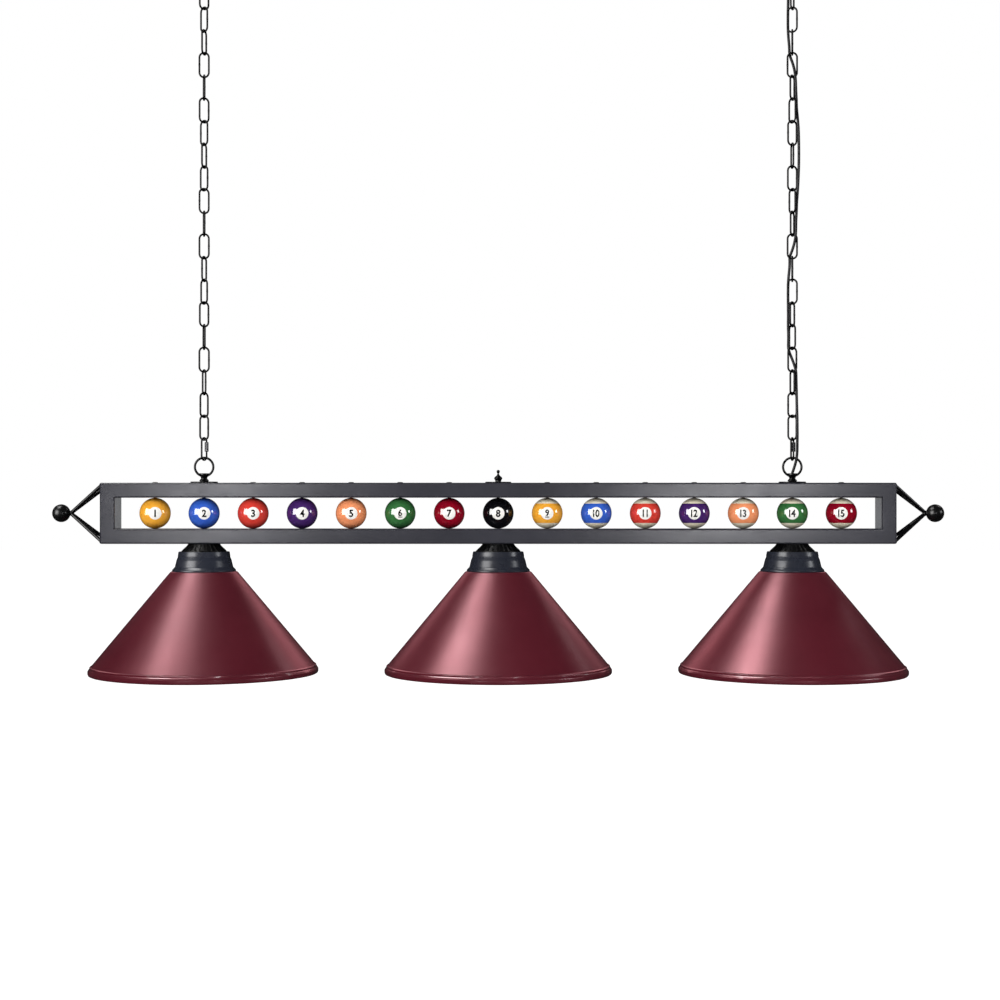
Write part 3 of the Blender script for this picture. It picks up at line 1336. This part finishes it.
def toward(direction, distance):
    """A place at that distance from the aim."""
    return AIM + Vector(direction).normalized() * distance


def softbox(name, place, size, radiance, colour=(1, 1, 1), mirrored=True, aim=AIM, roll=0):
    """Area light seen only in reflections or, if not mirrored, only by matt surfaces."""
    wide, tall = size
    light = bpy.data.lights.new(name, "AREA")
    light.shape = "RECTANGLE"
    light.size, light.size_y = wide, tall
    light.energy = radiance * wide * tall * math.pi
    light.color = colour
    box = bpy.data.objects.new(name, light)
    scene.collection.objects.link(box)
    box.location = place
    box.rotation_mode = "QUATERNION"
    turn = Matrix.Rotation(math.radians(roll), 3, "Z").to_quaternion()
    box.rotation_quaternion = (aim - Vector(place)).to_track_quat("-Z", "Y") @ turn
    box.visible_diffuse = not mirrored
    box.visible_glossy = mirrored
    box.visible_camera = False
    return box


def limit_light(light, name, pieces, exclude=False):
    """Lets a light reach only the named pieces, or all but them."""
    group = bpy.data.collections.new(name)
    for piece in pieces:
        group.objects.link(bpy.data.objects[piece])
    if exclude:
        for entry in group.collection_objects:
            entry.light_linking.link_state = "EXCLUDE"
    light.light_linking.receiver_collection = group


def lights():
    cones = [side + "_cone" for side in SHADE_X]
    warm, cool = (1.0, 0.99, 0.975), (0.98, 0.98, 1.0)
    # what the polished surfaces mirror; the big key would glare on the shades and the beam
    key = softbox("key_left", toward((-0.774, -0.62, 0.162), 5.5), size=(3.4, 3.7),
                  radiance=16.0, colour=warm)
    limit_light(key, "key_flag", cones + ["beam_tube_frame"], exclude=True)
    # a dim tinted card far behind lifts the flanks of the shades
    rear = softbox("rear_card", toward((0.0, 0.86, 0.44), 5.0), size=(7.0, 1.8),
                   radiance=2.2, colour=(1.0, 0.42, 0.47))
    limit_light(rear, "flank_receivers", cones)
    softbox("side_right", toward((0.93, -0.28, 0.19), 5.5), size=(1.3, 1.4),
            radiance=16.0, colour=(0.96, 0.98, 1.0))
    softbox("panel_left", (-0.985, -3.203, 0.37), size=(0.27, 0.62), radiance=15.0,
            colour=cool, aim=Vector((-0.467, 0, 0.25)), roll=-35)
    softbox("panel_right", (0.845, -3.203, 0.37), size=(0.26, 0.66), radiance=17.5,
            colour=cool, aim=Vector((0.401, 0, 0.25)), roll=-46)
    softbox("overhead_left", toward((-0.46, -0.03, 0.89), 4.5), size=(1.6, 2.0),
            radiance=19.0, colour=(1.0, 0.99, 0.98))
    softbox("back_right", toward((0.63, 0.45, 0.62), 5.0), size=(1.4, 1.4), radiance=3.2,
            colour=(1.0, 0.94, 0.95))
    # a card behind, which only the beam picks up, on its inner end faces
    card = softbox("behind", (0.0, 3.0, 0.27), size=(0.9, 0.9), radiance=0.62,
                   colour=(0.95, 0.97, 1.0))
    limit_light(card, "card_receivers", ["beam_tube_frame"])
    # what lights the matt surfaces
    softbox("front_wash", toward((-0.25, -1.0, 0.30), 7.0), size=(4.5, 3.2), radiance=3.2,
            mirrored=False)
    softbox("key_wash", toward((-0.774, -0.62, 0.25), 5.5), size=(3.0, 3.0), radiance=5.0,
            colour=warm, mirrored=False)
    softbox("right_wash", toward((0.85, -0.35, 0.35), 5.5), size=(2.0, 2.0), radiance=8.0,
            mirrored=False)
    softbox("top_wash", toward((-0.3, -0.25, 0.92), 5.0), size=(2.5, 2.5), radiance=2.4,
            mirrored=False)


def camera():
    eye = bpy.data.objects.new("camera", bpy.data.cameras.new("camera"))
    scene.collection.objects.link(eye)
    eye.location = (0.003, -EYE_DISTANCE * MM, 0.2909)
    eye.rotation_euler = (math.radians(90), 0, 0)
    eye.data.sensor_fit = "HORIZONTAL"
    eye.data.sensor_width = 36
    eye.data.lens = 61.2
    eye.data.clip_start, eye.data.clip_end = 0.05, 200
    scene.camera = eye
    scene.view_settings.view_transform = "Standard"
    scene.view_settings.look = "None"


floor()
studio_world()
lights()
camera()
